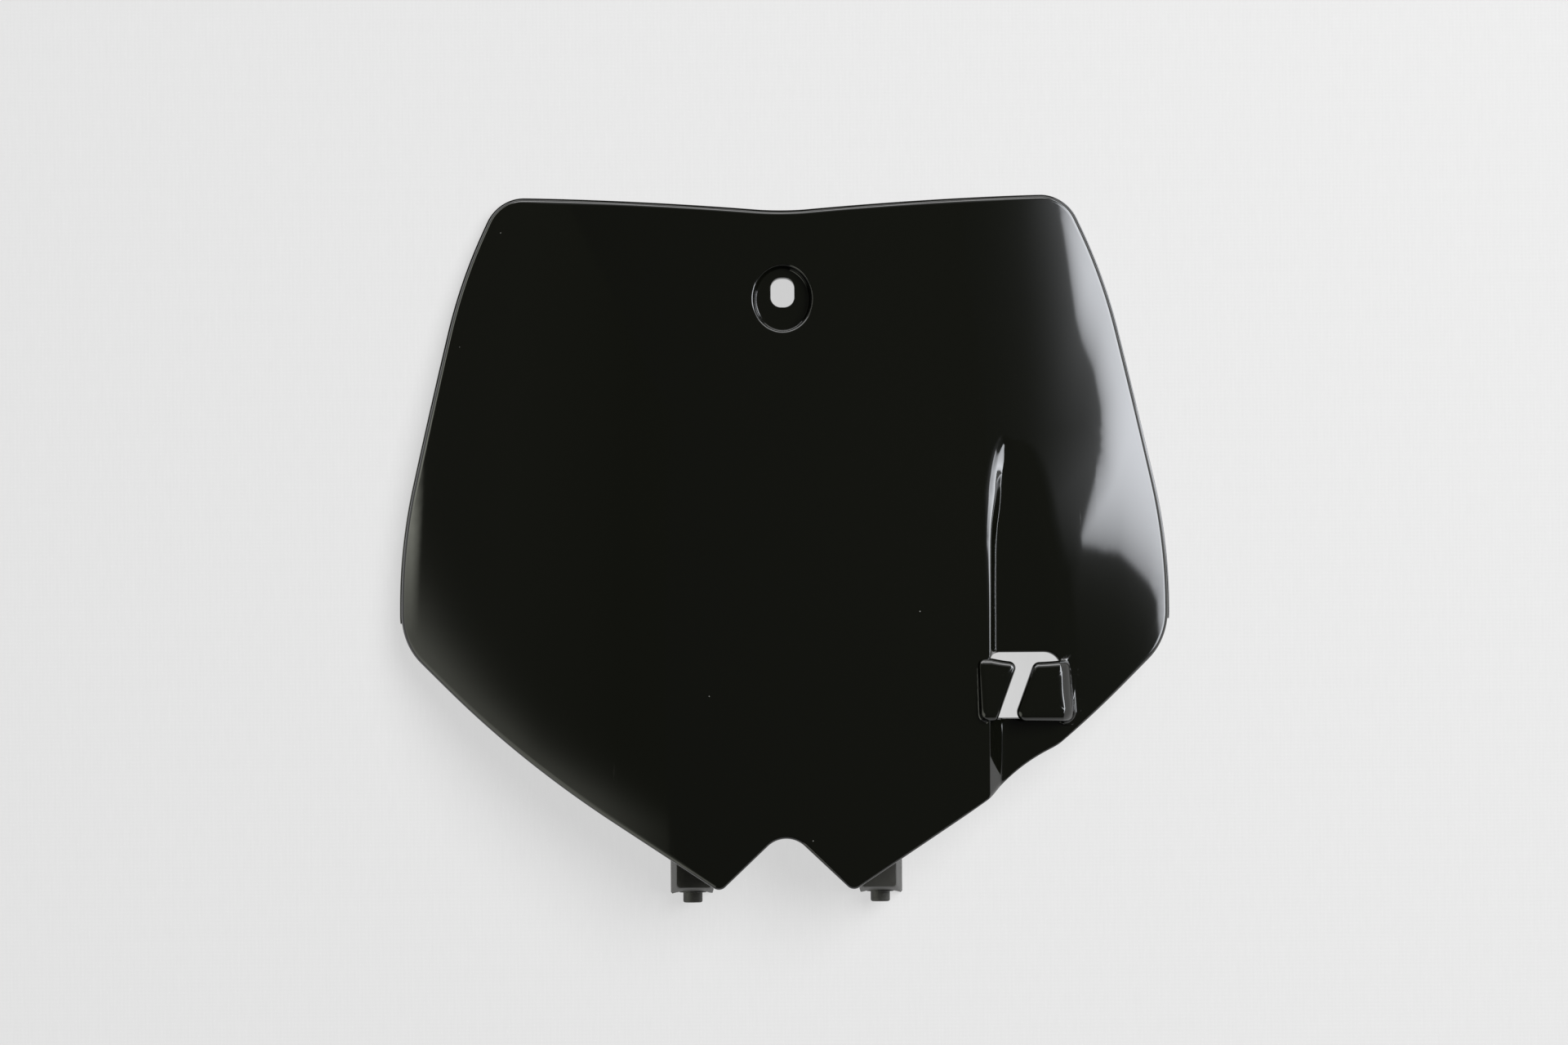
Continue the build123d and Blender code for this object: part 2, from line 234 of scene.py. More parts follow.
def channel_profile(y):
    """Where the brow's roll starts and ends at a height of the plate, and where its foot starts and ends."""
    radius, pitch = along_channel(brow_radius, y), along_channel(wall_pitch, y)
    start = along_channel(brow_line, y) - radius * 0.26
    lean = np.arcsin(np.clip(start, 0, crown_half_width) / crown_radius)
    top = crown(start, y)
    center_x, center_z = start - radius * np.sin(lean), top - radius * np.cos(lean)
    end_x, end_z = center_x + radius * np.sin(pitch), center_z + radius * np.cos(pitch)
    corner = end_x + (end_z - channel_floor(end_x, y, 0.0)) / np.tan(pitch)
    room = (corner - end_x) / (np.cos(pitch) * np.tan(pitch / 2))
    foot = np.clip(np.minimum((foot_line - corner) / np.tan(pitch / 2), room), 0.25, along_channel(foot_limit, y))
    tangent = foot * np.tan(pitch / 2)
    foot_start, foot_end = corner - tangent * np.cos(pitch), corner + tangent
    return radius, pitch, start, center_x, center_z, end_x, end_z, foot, foot_start, foot_end


def channel_front(x, y):
    """Height of the channel's front: the face, the rolled brow, the wall, the rounded foot and the floor."""
    radius, pitch, start, center_x, center_z, end_x, end_z, foot, foot_start, foot_end = channel_profile(y)
    face, floor = crown(x, y), channel_floor(x, y, 0.0)
    roll = center_z + np.sqrt(np.maximum(radius**2 - np.clip(x - center_x, 0, radius) ** 2, 0))
    slant = end_z - (x - end_x) * np.tan(pitch)
    wall_line = np.where(x < start, face, np.where(x < end_x, roll, slant))
    toe = floor + foot - np.sqrt(np.maximum(foot**2 - np.clip(x - foot_end, -foot, 0) ** 2, 0))
    trough = np.where((x > foot_start) & (x > end_x), toe, np.maximum(wall_line, floor))
    soft = run_out * np.clip((x - foot_line) / 5, 0, 1) + 1e-6
    low = np.minimum(face, trough) - np.maximum(soft - np.abs(face - trough), 0) ** 2 / (4 * soft)
    return np.where(x < start, face, low)


def wall_rise(off, foot, draft):
    """Height of a drafted wall with a rounded foot, over its floor."""
    reach = foot * math.tan(math.pi / 4 - draft / 2)
    arc = foot - np.sqrt(np.maximum(foot**2 - (off - reach) ** 2, 0))
    return np.where(off > reach, 0.0, np.where(off > -reach * math.sin(draft), arc, -off / math.tan(draft)))


def wall_place(rise, foot, draft):
    """Where that wall has a given height."""
    reach = foot * math.tan(math.pi / 4 - draft / 2)
    arc = reach - np.sqrt(np.maximum(foot**2 - (foot - np.minimum(rise, foot)) ** 2, 0))
    return np.where(rise > reach * math.cos(draft), -rise * math.tan(draft), arc)


# Bolt recess: an oval with a level floor and drafted walls
recess_y, recess_a, recess_b, recess_draft, recess_brow, recess_foot = 75.1, 8.85, 10.4, math.radians(11), 1.0, 0.7
recess_zero = crown(0.0, recess_y) - 5.0


def beside_recess(x, y, depth):
    """How much larger than the recess's floor the oval through a point is."""
    off = np.hypot(x, y - recess_y) - (recess_a + recess_b) / 2 - depth
    for _ in range(12):
        a, b = np.maximum(recess_a + depth + off, 0.5), np.maximum(recess_b + depth + off, 0.5)
        value = (x / a) ** 2 + ((y - recess_y) / b) ** 2 - 1
        slope = -2 * x**2 / a**3 - 2 * (y - recess_y) ** 2 / b**3
        off = np.maximum(off - value / np.minimum(slope, -1e-6), -8.5)
    return off


def skin_height(x, y, depth):
    """Height of the skin's front, or of its back at the depth of its wall, before its edges are rounded."""
    face = crown(x, y, depth)
    if depth == 0:
        height = channel_front(x, y)
    else:
        off = x - channel_x + depth / math.cos(channel_draft)
        rise = wall_rise(off, channel_foot + depth, channel_draft) / math.cos(channel_slope)
        trough = channel_floor(x, y, depth) + rise
        height = np.minimum(face, trough)
    brow = recess_brow if depth == 0 else 0.3 * recess_brow
    zero = recess_zero - depth
    off = beside_recess(x, y, depth)
    edge = -wall_place(face - zero - brow, recess_foot + depth, recess_draft)
    cup = zero + wall_rise(-off, recess_foot + depth, recess_draft)
    cup = np.where(off > edge, face - drop(off - edge, brow), cup)
    return np.where(np.hypot(x, y - recess_y) < 20, cup, height)


def wall_lines(rise, brow, foot, draft, outer, steps):
    """Places across a drafted wall: over its rounded brow, down the wall and round its foot."""
    reach = foot * math.tan(math.pi / 4 - draft / 2)
    top = max(rise - brow, 1e-3)
    places = [float(wall_place(np.array(top), foot, draft)) - brow * k for k in outer]
    straight = max(top - reach * math.cos(draft), 0) / math.cos(draft)
    bend = math.pi / 2 - draft if straight > 0 else math.acos(max(1 - top / foot, -1))
    for s in np.linspace(0, straight + foot * bend, steps):
        if s < straight:
            places.append(-(top - s * math.cos(draft)) * math.tan(draft))
        else:
            places.append(reach - foot * math.sin(bend - (s - straight) / foot))
    return places


def channel_lines(depth):
    """Lines that run along the channel's brow, wall, foot and floor, each a row of points."""
    columns = []
    for y in np.concatenate((np.arange(-92, 2, 1.1), np.arange(2, 28.2, 0.5))):
        if depth == 0:
            radius, pitch, start, center_x, _, end_x, _, _, foot_start, foot_end = map(float, channel_profile(y))
            lean = math.asin((start - center_x) / radius)
            places = [start - k for k in (2.4, 1.2, 0.4)]
            places += [center_x + radius * math.sin(a) for a in np.linspace(lean, pitch, 18)]
            places += [end_x + max(foot_start - end_x, 0.02) * k for k in (0.33, 0.66)]
            toe = max(foot_start, end_x + 0.03)
            places += [toe + (foot_end - toe) * k for k in (0, 0.06, 0.14, 0.24, 0.36, 0.5, 0.66, 0.83, 1)]
            places += [foot_end + k for k in (0.4, 1.0, 1.8)]
        else:
            rise = crown(channel_x - depth, y, depth) - channel_floor(channel_x, y, depth)
            rise = max(float(rise * math.cos(channel_slope)), 0.5)
            places = wall_lines(rise, 0.3, channel_foot + depth, channel_draft, (1.3, 0.8, 0.3), 12)
            places = [channel_x - depth / math.cos(channel_draft) + place for place in places]
        columns.append([np.array((place, y)) for place in places])
    return np.swapaxes(np.array(columns), 0, 1)


def recess_lines(depth):
    """Ovals round the recess's brow, wall and foot."""
    columns = []
    brow = recess_brow if depth == 0 else 0.3 * recess_brow
    for angle in np.linspace(0, -2 * math.pi, 128, endpoint=False):
        def at(off):
            a, b = recess_a + depth + off, recess_b + depth + off
            return np.array((a * math.cos(angle), recess_y + b * math.sin(angle)))

        off = 0.0
        for _ in range(8):
            rise = float(crown(*at(off), depth)) - recess_zero + depth
            off = rise * math.tan(recess_draft)
        outer = (2.4, 1.6, 1.0, 0.8, 0.6, 0.42, 0.27, 0.15, 0.06)
        places = wall_lines(rise, brow, recess_foot + depth, recess_draft, outer, 12)
        columns.append([at(-place) for place in places + [places[-1] + 0.5]])
    return np.swapaxes(np.array(columns), 0, 1)


def inside(points, loop):
    """Which points a closed loop encloses."""
    result = np.zeros(len(points), bool)
    x, y = points.T
    for (x0, y0), (x1, y1) in zip(loop, np.roll(loop, -1, 0)):
        if y0 != y1:
            crossing = (y0 > y) != (y1 > y)
            result ^= crossing & (x < (x1 - x0) * (y - y0) / (y1 - y0) + x0)
    return result


def hexagonal(x0, x1, y0, y1, step):
    """Points over a field, every other row moved by half a step."""
    rows, columns = np.arange(y0, y1, step * math.sqrt(3) / 2), np.arange(x0, x1, step)
    return np.array([(x + (step / 2 if i % 2 else 0), y) for i, y in enumerate(rows) for x in columns])


# The outline is close-set at its corners and where the channel's wall runs out through it
heading = np.unwrap(np.arctan2(*outward(outline).T))
bend = np.abs(np.roll(heading, -8) - np.roll(heading, 8))
bend = np.minimum(bend, np.abs(bend - 2 * math.pi)) / 0.8
spacing = np.clip(0.055 / np.maximum(bend, 1e-4), 0.35, 1.3)
crossing = np.abs(outline[:, 0] - 68.6) + np.where(outline[:, 1] < -60, 0, 99)
spacing = np.where(crossing < 4.6, 0.16, spacing)
edge_loop = spaced(outline, spacing)
slot_corners = [(-3.9, 82.5, 3.4), (3.9, 82.5, 3.4), (3.9, 72.6, 3.4), (-3.9, 72.6, 3.4)]
slot_loop = rounded(slot_corners, arc=10, run=6)
window_corners = [(66.9, -41.6, 3.9), (90.8, -41.6, 5.6), (90.8, -63.0, 1.6), (66.9, -63.0, 1.6)]
window_loop = rounded(window_corners, arc=12, run=26)
slot_edge, window_edge = 0.3, 0.8


def flat_skin(depth):
    """The skin's plan as points and triangles, the drop at its rounded edges, and where the points of its border are."""
    points, lines, drops = [], [], []

    def put(row, fall):
        points.extend(row)
        drops.extend([fall] * len(row))

    for loop, radius in ((edge_loop, edge_radius), (slot_loop, slot_edge), (window_loop, window_edge)):
        start, count = len(points), len(loop)
        lines.extend((start + i, start + (i + 1) % count) for i in range(count))
        put(loop, radius if depth == 0 else 0.0)
    hole_count = len(points)
    if depth == 0:
        for k in (0.02, 0.08, 0.18, 0.32, 0.5, 0.72, 1.0, 1.4):
            put(edge_loop - outward(edge_loop) * k * edge_radius, float(drop(k * edge_radius, edge_radius)))
        for loop, radius in ((slot_loop, slot_edge), (window_loop, window_edge)):
            for k in (0.03, 0.12, 0.3, 0.6, 1.0):
                put(loop + outward(loop) * k * radius, float(drop(k * radius, radius)))
    edge_tree = KDTree(len(outline))
    for i, p in enumerate(outline):
        edge_tree.insert((*p, 0), i)
    edge_tree.balance()
    margin = 1.75 if depth == 0 else 0.4
    for group, closed in ((channel_lines(depth), False), (recess_lines(depth), True)):
        for row in group:
            free = inside(row, edge_loop[::3]) & ~inside(row, rounded(window_corners, inset=-1.0, arc=6, run=2))
            free &= np.array([edge_tree.find((*p, 0))[2] > margin for p in row])
            index = {}
            for i in np.flatnonzero(free):
                index[i] = len(points)
                points.append(row[i])
                drops.append(0.0)
            count = len(row)
            for i in index:
                after = (i + 1) % count if closed else i + 1
                if after in index:
                    lines.append((index[i], index[after]))
    for step, area in ((1.1, (66.0, 104.0, -88.0, 34.0)), (2.4, (-130.0, 130.0, -122.0, 112.0))):
        near = KDTree(len(points))
        for i, p in enumerate(points):
            near.insert((*p, 0), i)
        near.balance()
        spots = hexagonal(*area, step if depth == 0 else step * 1.6)
        spots = spots[inside(spots, edge_loop[::3])]
        spots = spots[~inside(spots, slot_loop) & ~inside(spots, window_loop)]
        for p in spots:
            if near.find((*p, 0))[2] > 0.62 * step:
                points.append(p)
                drops.append(0.0)
    flat, _, faces, origin, _, _ = delaunay_2d_cdt([Vector(p) for p in points], lines, [], 0, 1e-6)
    spots = np.array([tuple(p) for p in flat])
    faces = np.array([f for f in faces])
    fall = np.array([drops[o[0]] if o else 0.0 for o in origin])
    place = {o: i for i, group in enumerate(origin) for o in group}
    middle = spots[faces].mean(axis=1)
    keep = inside(middle, edge_loop) & ~inside(middle, slot_loop) & ~inside(middle, window_loop)
    return spots, faces[keep], fall, [place[i] for i in range(hole_count)]


spots, faces, sinks, depths = [], [], [], []
borders = []
for depth in (0.0, wall):
    plan, triangles, fall, border = flat_skin(depth)
    start = sum(len(s) for s in spots)
    spots.append(plan)
    sinks.append(crown(*plan.T, depth) - skin_height(*plan.T, depth) + fall)
    depths.append(np.full(len(plan), depth))
    faces += [tuple(int(i) + start for i in (t if depth == 0 else t[::-1])) for t in triangles]
    borders.append([i + start for i in border])
start = 0
for count in (len(edge_loop), len(slot_loop), len(window_loop)):
    ring = [[border[start + i] for i in range(count)] for border in borders]
    faces += [(ring[0][i], ring[0][(i + 1) % count], ring[1][(i + 1) % count], ring[1][i]) for i in range(count)]
    start += count

# Rim: a low wall behind the edge, from elbow to elbow over the top, that stands a little outside the skin
rim_profile = [
    (-2.2, 2.0), (0.4, 1.85), (0.62, 1.8), (0.76, 1.88), (0.8, 2.1),
    (0.8, 5.6), (0.7, 5.9), (0.45, 6.0), (-1.9, 6.0), (-2.2, 5.7),
]
rim_path = spaced(outline, 1.0)
rim_square = outward(rim_path)
from_elbow = np.abs(rim_path[:, 1] + 29.5)
rim_start = int(np.argmin(np.where(rim_path[:, 0] < 0, from_elbow, 999)))
rim_end = int(np.argmin(np.where(rim_path[:, 0] > 0, from_elbow, 999)))
rim_end += len(rim_path) if rim_end < rim_start else 0
order = [i % len(rim_path) for i in range(rim_start, rim_end + 1)]
base = sum(len(s) for s in spots)
ring = len(rim_profile)
for i in order:
    spots.append(np.array([rim_path[i] + rim_square[i] * off for off, _ in rim_profile]))
    sinks.append(np.zeros(ring))
    depths.append(np.array([depth for _, depth in rim_profile]))
for k in range(len(order) - 1):
    for j in range(ring):
        a, b = base + k * ring + j, base + k * ring + (j + 1) % ring
        faces.append((a, b, b + ring, a + ring))
faces.append(tuple(range(base, base + ring)))
faces.append(tuple(reversed(range(base + (len(order) - 1) * ring, base + len(order) * ring))))

flat = bpy.data.meshes.new("plate_plan")
plan = np.vstack(spots) / 1000
flat.from_pydata([(float(x), float(y), 0.0) for x, y in plan], [], faces)
flat.attributes.new("sink", "FLOAT", "POINT").data.foreach_set("value", np.concatenate(sinks) / 1000)
flat.attributes.new("depth", "FLOAT", "POINT").data.foreach_set("value", np.concatenate(depths) / 1000)

# The plan is lifted onto the crowned face by the rule of the two radii and the turn about the level axis
lift = bpy.data.node_groups.new("lift_onto_crown", "GeometryNodeTree")
lift.interface.new_socket("Geometry", in_out="INPUT", socket_type="NodeSocketGeometry")
sizes = {
    "Crown radius": crown_radius, "Crown half width": crown_half_width,
    "Flank radius": flank_radius, "Upright radius": upright_radius,
}
for name in sizes:
    lift.interface.new_socket(name, in_out="INPUT", socket_type="NodeSocketFloat")
lift.interface.new_socket("Geometry", in_out="OUTPUT", socket_type="NodeSocketGeometry")
given = add(lift, "NodeGroupInput").outputs
x, y, _ = add(lift, "ShaderNodeSeparateXYZ", (0, add(lift, "GeometryNodeInputPosition").outputs[0])).outputs
known = {"x": x, "y": y, **{name: given[name] for name in sizes}}
for name in ("sink", "depth"):
    known[name] = add(lift, "GeometryNodeInputNamedAttribute", ("Name", name)).outputs["Attribute"]
for name, rule, *values in (
    ("across", "ABSOLUTE", "x"),
    ("sine", "DIVIDE", "Crown half width", "Crown radius"),
    ("sine squared", "MULTIPLY", "sine", "sine"),
    ("cosine squared", "SUBTRACT", 1.0, "sine squared"),
    ("cosine", "SQRT", "cosine squared"),
    ("flank sine", "MULTIPLY", "Flank radius", "sine"),
    ("middle x", "SUBTRACT", "Crown half width", "flank sine"),
    ("radius step", "SUBTRACT", "Crown radius", "Flank radius"),
    ("crown middle", "MULTIPLY", "Crown radius", -1.0),
    ("middle z", "MULTIPLY_ADD", "radius step", "cosine", "crown middle"),
    # Over the middle the section is the crown's arc
    ("inner radius", "SUBTRACT", "Crown radius", "depth"),
    ("join", "MULTIPLY", "inner radius", "sine"),
    ("near", "MINIMUM", "across", "join"),
    ("inner squared", "MULTIPLY", "inner radius", "inner radius"),
    ("near squared", "MULTIPLY", "near", "near"),
    ("inner rest", "SUBTRACT", "inner squared", "near squared"),
    ("inner arc", "SQRT", "inner rest"),
    ("inner", "SUBTRACT", "inner arc", "Crown radius"),
    # Past the join it is the flank's arc, whose middle lies on the same line
    ("outer radius", "SUBTRACT", "Flank radius", "depth"),
    ("past middle", "SUBTRACT", "across", "middle x"),
    ("far", "MAXIMUM", "past middle", 0.0),
    ("outer squared", "MULTIPLY", "outer radius", "outer radius"),
    ("far squared", "MULTIPLY", "far", "far"),
    ("outer rest", "SUBTRACT", "outer squared", "far squared"),
    ("outer arc", "SQRT", "outer rest"),
    ("outer", "ADD", "middle z", "outer arc"),
    ("on flank", "GREATER_THAN", "across", "join"),
    ("section", "SWITCH", "on flank", "inner", "outer"),
    # The section is turned about the level axis, and what is pressed into the skin lies under it
    ("swing", "ADD", "Upright radius", "section"),
    ("swing squared", "MULTIPLY", "swing", "swing"),
    ("y squared", "MULTIPLY", "y", "y"),
    ("swing rest", "SUBTRACT", "swing squared", "y squared"),
    ("swing arc", "SQRT", "swing rest"),
    ("height", "SUBTRACT", "swing arc", "Upright radius"),
    ("z", "SUBTRACT", "height", "sink"),
):
    links = [(i, known.get(value, value)) for i, value in enumerate(values)]
    if rule == "SWITCH":
        node = add(lift, "GeometryNodeSwitch", *links, input_type="FLOAT")
    else:
        node = add(lift, "ShaderNodeMath", *links, operation=rule)
    known[name] = node.outputs[0]
spot = add(lift, "ShaderNodeCombineXYZ", (0, known["x"]), (1, known["y"]), (2, known["z"])).outputs[0]
raised = add(lift, "GeometryNodeSetPosition", ("Geometry", given["Geometry"]), ("Position", spot))
whole = add(lift, "GeometryNodeRealizeInstances", (0, raised.outputs[0]))
coated = add(lift, "GeometryNodeSetMaterial", ("Geometry", whole.outputs[0]), ("Material", plastic))
add(lift, "NodeGroupOutput", (0, coated.outputs[0]))

shell = bpy.data.objects.new("plate_plan", flat)
bpy.context.collection.objects.link(shell)
modifier = shell.modifiers.new("lift", "NODES")
modifier.node_group = lift
for socket in lift.interface.items_tree:
    if socket.name in sizes:
        modifier[socket.identifier] = sizes[socket.name] / 1000
bpy.context.view_layer.update()
skin = bpy.data.meshes.new_from_object(shell.evaluated_get(bpy.context.evaluated_depsgraph_get()))
bpy.data.objects.remove(shell)
board = bmesh.new()
board.from_mesh(skin)


# Split clip
# Two fingers bridge the channel and leave a leaning slit through which a hose is pressed in. They are moulded with
# the plate: the left one stands on the face, the right one bends down over a shoulder to a post on the flank.

def close_up(rows):
    """A closed skin over rings of points, with a pole at the first and the last ring's middle."""
    count = len(rows[0])
    verts = [[board.verts.new(Vector(p) / 1000) for p in row] for row in rows]
    for low, high in zip(verts, verts[1:]):
        for i in range(count):
            board.faces.new((low[i], low[(i + 1) % count], high[(i + 1) % count], high[i]))
    for row, points in ((verts[0], rows[0]), (verts[-1], rows[-1])):
        pole = board.verts.new(Vector(np.mean(points, axis=0)) / 1000)
        for i in range(count):
            board.faces.new((row[i], row[(i + 1) % count], pole))


clip_top, clip_bottom, clip_left, clip_wall = -45.2, -64.5, 62.8, 2.7
window_side, bow_x = 90.5, 78.5
clip_middle = (clip_top + clip_bottom) / 2
clip_level, clip_fall = float(crown(clip_left, clip_middle)) + 3.2, math.tan(math.radians(9))
slit_half, slit_x, slit_lean = 2.6, 75.2, math.tan(math.radians(20.7))
slit_top = slit_x + (clip_top - clip_middle) * slit_lean
slit_bottom = slit_x + (clip_bottom - clip_middle) * slit_lean
facet_x, facet_roll, facet_slope = 90.0, 0.2, math.tan(math.radians(49)) - clip_fall
post_draft = math.tan(math.radians(8))


def finger(corners, middle, on_plate, foot, brow, under=0.0):
    """A cushion with rounded brows over a plan, level with the clip's front or the given way under it. Where it stands
    on the plate its wall runs down with draft to a foot that flares to the sides, upwards and downwards, elsewhere it
    is a bridge of the clip's wall thickness."""
    def lay(plan, sunk=0.0, level=None):
        x, y = plan.T
        bow = np.where(x < bow_x, 1.25 * np.clip((bow_x - x) / 11, 0, 1) ** 2, 0.9 * ((x - bow_x) / 15) ** 2)
        high_end = np.clip((y - clip_top + 5.5) / 5.5, 0, 1)
        y = y + np.clip((y - clip_middle) / (clip_top - clip_middle), 0, 1) * bow
        low_half = np.clip((-52 - y) / 10, 0, 1)
        low_end = np.clip((clip_bottom + 4 - y) / 4, 0, 1)
        bent = x - facet_x - 0.75 * low_half**2 * (3 - 2 * low_half)
        fold = np.clip(bent + facet_roll, 0, 2 * facet_roll) ** 2 / (4 * facet_roll) + np.maximum(bent - facet_roll, 0)
        front = clip_level - (x - clip_left) * clip_fall - facet_slope * fold
        front = front - under - 1.1 * high_end**2 - 0.5 * low_end**2
        z = front - sunk
        plan = np.stack((x, y), 1)
        if level is not None:
            away = outward(plan)
            stands = on_plate(x)
            upwards, downwards = np.maximum(away[:, 1], 0) ** 2, np.maximum(-away[:, 1], 0) ** 2
            reach = foot[0] + (foot[1] - foot[0]) * upwards + (foot[2] - foot[0]) * downwards
            reach = reach * np.where(x > 80, np.clip((x - window_side) / 2.6, 0.1, 1), 1)
            top, face = front - brow, crown(x, y)
            down = face - 0.6 + (top - face + 0.6) * (1 - level) ** 2
            left = np.clip(reach - np.maximum(down - face, 0), 0, reach)
            flare = reach - np.sqrt(reach**2 - left**2) + (top - down) * post_draft
            z = stands * down + (1 - stands) * (top + (front - clip_wall - top) * level)
            plan = plan + away * (flare * stands)[:, None]
        return np.column_stack((plan, z))

    core = rounded(corners, 1.4 * brow, arc=13, run=52)
    rows = [lay(middle + (core - middle) * t) for t in (0.05, 0.2, 0.35, 0.5, 0.65, 0.8, 0.92)]
    for k in (1.4, 1.15, 0.95, 0.78, 0.63, 0.5, 0.38, 0.28, 0.19, 0.11, 0.05, 0.012):
        rows.append(lay(rounded(corners, k * brow, arc=13, run=52), float(drop(k * brow, brow))))
    plan = rounded(corners, 0, arc=13, run=52)
    rows += [lay(plan, level=level) for level in np.linspace(0, 1, 15)]
    back = rows[-1]
    close_up(rows + [back + (np.mean(back, axis=0) - back) * t for t in (0.1, 0.5, 0.95)])


# The right finger is a bridge, and a post under its outer end carries it. The left finger stands on the face.
finger(
    [
        (slit_top + slit_half, clip_top, 2.6), (94.2, clip_top, 2.2),
        (95.1, clip_bottom, 3.6), (slit_bottom + slit_half, clip_bottom, 3.0),
    ],
    np.array((84.0, clip_middle)), lambda x: np.zeros(len(x)), foot=(1.0, 1.0, 1.0), brow=2.3,
)
finger(
    [
        (90.9, clip_top - 0.1, 0.4), (94.1, clip_top - 0.1, 2.0),
        (95.0, clip_bottom + 0.1, 3.0), (90.9, clip_bottom + 0.1, 0.4),
    ],
    np.array((93.0, clip_middle)), lambda x: np.ones(len(x)), foot=(2.2, 2.2, 1.0), brow=1.1, under=1.0,
)
finger(
    [
        (clip_left, clip_top, 2.2), (slit_top - slit_half, clip_top, 2.0),
        (slit_bottom - slit_half, clip_bottom, 1.6), (clip_left + 0.8, clip_bottom, 2.6),
    ],
    np.array((67.4, clip_middle)), lambda x: np.clip((66.4 - x) / 0.7, 0, 1), foot=(0.8, 0.8, 0.8), brow=2.3,
)


# Lugs and pegs
# Behind each of the two tips a hollow leg is moulded on. Above its step it follows the tip's edge, below it is a
# drafted box with an arched foot, from which a round peg points down the plate into a grommet of the fork bracket.

lean, slid = math.radians(6), (0.0, 8.979, 45.403)
lug_inner, lug_outer, lug_bottom, lug_top, lug_step = 24.8, 36.5, -118.2, -97.0, 34.0
lug_side, lug_under = math.tan(math.radians(7)), math.tan(math.radians(8))
peg_depth, peg_end = 49.0, -123.3
lug_middle = (lug_inner + lug_outer + (peg_depth - lug_step) * lug_side) / 2
lug_foot = lug_bottom - (peg_depth - lug_step) * lug_under
lug_core = np.array((29.6, -106.0))
turns = np.linspace(0, -2 * math.pi, 144, endpoint=False)
rays = np.stack((np.cos(turns), np.sin(turns)), 1)


def ray_lengths(loop):
    """How far each ray from the lug's core runs before it meets a loop."""
    a = loop - lug_core
    b = np.roll(loop, -1, 0) - lug_core
    step = b - a
    lengths = []
    for ray in rays:
        cross = ray[0] * step[:, 1] - ray[1] * step[:, 0]
        cross = np.where(np.abs(cross) < 1e-12, 1e-12, cross)
        t = (a[:, 0] * step[:, 1] - a[:, 1] * step[:, 0]) / cross
        s = (a[:, 0] * ray[1] - a[:, 1] * ray[0]) / cross
        lengths.append(np.min(np.where((t > 0) & (s >= 0) & (s <= 1), t, 1e3)))
    return np.array(lengths)


def lug_ring(depth, side, foot, limit=None, arched=False, height=None):
    """A ring of the leg at a depth, its sides and foot moved in, held inside the tip's edge where that is above it."""
    below = depth - lug_step
    right, low = lug_outer + below * lug_side - side, lug_bottom - below * lug_under + foot
    left, high = lug_inner + side, lug_top - side
    corners = [(left, high, 1.0), (right, high, 1.0), (right, low, 1.2), (left, low, 1.2)]
    lengths = ray_lengths(rounded(corners, arc=12, run=8))
    if limit is not None:
        lengths = np.minimum(lengths, limit) - np.maximum(0.8 - np.abs(lengths - limit), 0) ** 2 / 3.2
    if arched:
        rise = 1.1
        radius = ((lug_middle - lug_inner) ** 2 + rise**2) / (2 * rise)
        center = np.array((lug_middle, lug_foot + rise - radius)) - lug_core
        b = rays @ center
        gap = b**2 - (center @ center - radius**2)
        arch = np.where(b > 0, b - np.sqrt(np.maximum(gap, 0)), 1e3)
        lengths = np.where(gap > 0, np.minimum(lengths, arch), lengths)
    plan = lug_core + rays * lengths[:, None]
    z = np.full(len(plan), -depth) if height is None else height(plan)
    return np.column_stack((plan, z))


def bench(plan):
    """Where the bench lies behind the leaning plate."""
    return (plan[:, 1] * math.sin(lean) - slid[2]) / math.cos(lean)


edge_limit = ray_lengths(outline - outward(outline) * 0.9)
core_limit = ray_lengths(outline - outward(outline) * 3.1)
lug_wall, lug_heel, lug_deep = 2.2, 3.3, 57.0

# Outside, from the skin to the step, then down the box to its arched foot, which is rounded where it meets the bench
leg = [lug_ring(2.0, 0, 0, edge_limit, height=lambda p: crown(*p.T) - 1.6)]
leg += [lug_ring(depth, 0, 0, edge_limit) for depth in (17.0, 24.0, 30.0, 33.6)]
leg += [lug_ring(lug_step, -0.3, -0.3, edge_limit)]
for depth, inset in ((lug_step, 0.35), (34.1, 0.1), (34.4, 0), (38.0, 0), (41.95, 0)):
    leg.append(lug_ring(depth, inset, inset))
leg += [lug_ring(depth, 0, 0, arched=True) for depth in (42.0, 47.0, 52.0)]
for inset, above in ((0, 0.4), (0.12, 0.1), (0.4, 0)):
    leg.append(lug_ring(lug_deep, inset, inset, arched=True, height=lambda p: bench(p) + above))

# Inside, from the foot's rim back up to the skin
leg.append(lug_ring(lug_deep, 2.0, 3.1, height=bench))
leg.append(lug_ring(lug_deep, lug_wall, lug_heel, height=lambda p: bench(p) + 0.3))
leg += [lug_ring(depth, lug_wall, lug_heel) for depth in (50.0, 36.2)]
leg += [lug_ring(depth, lug_wall, lug_heel, core_limit) for depth in (36.2, 20.0)]
leg.append(lug_ring(3.0, lug_wall, lug_heel, core_limit, height=lambda p: crown(*p.T) - 2.2))

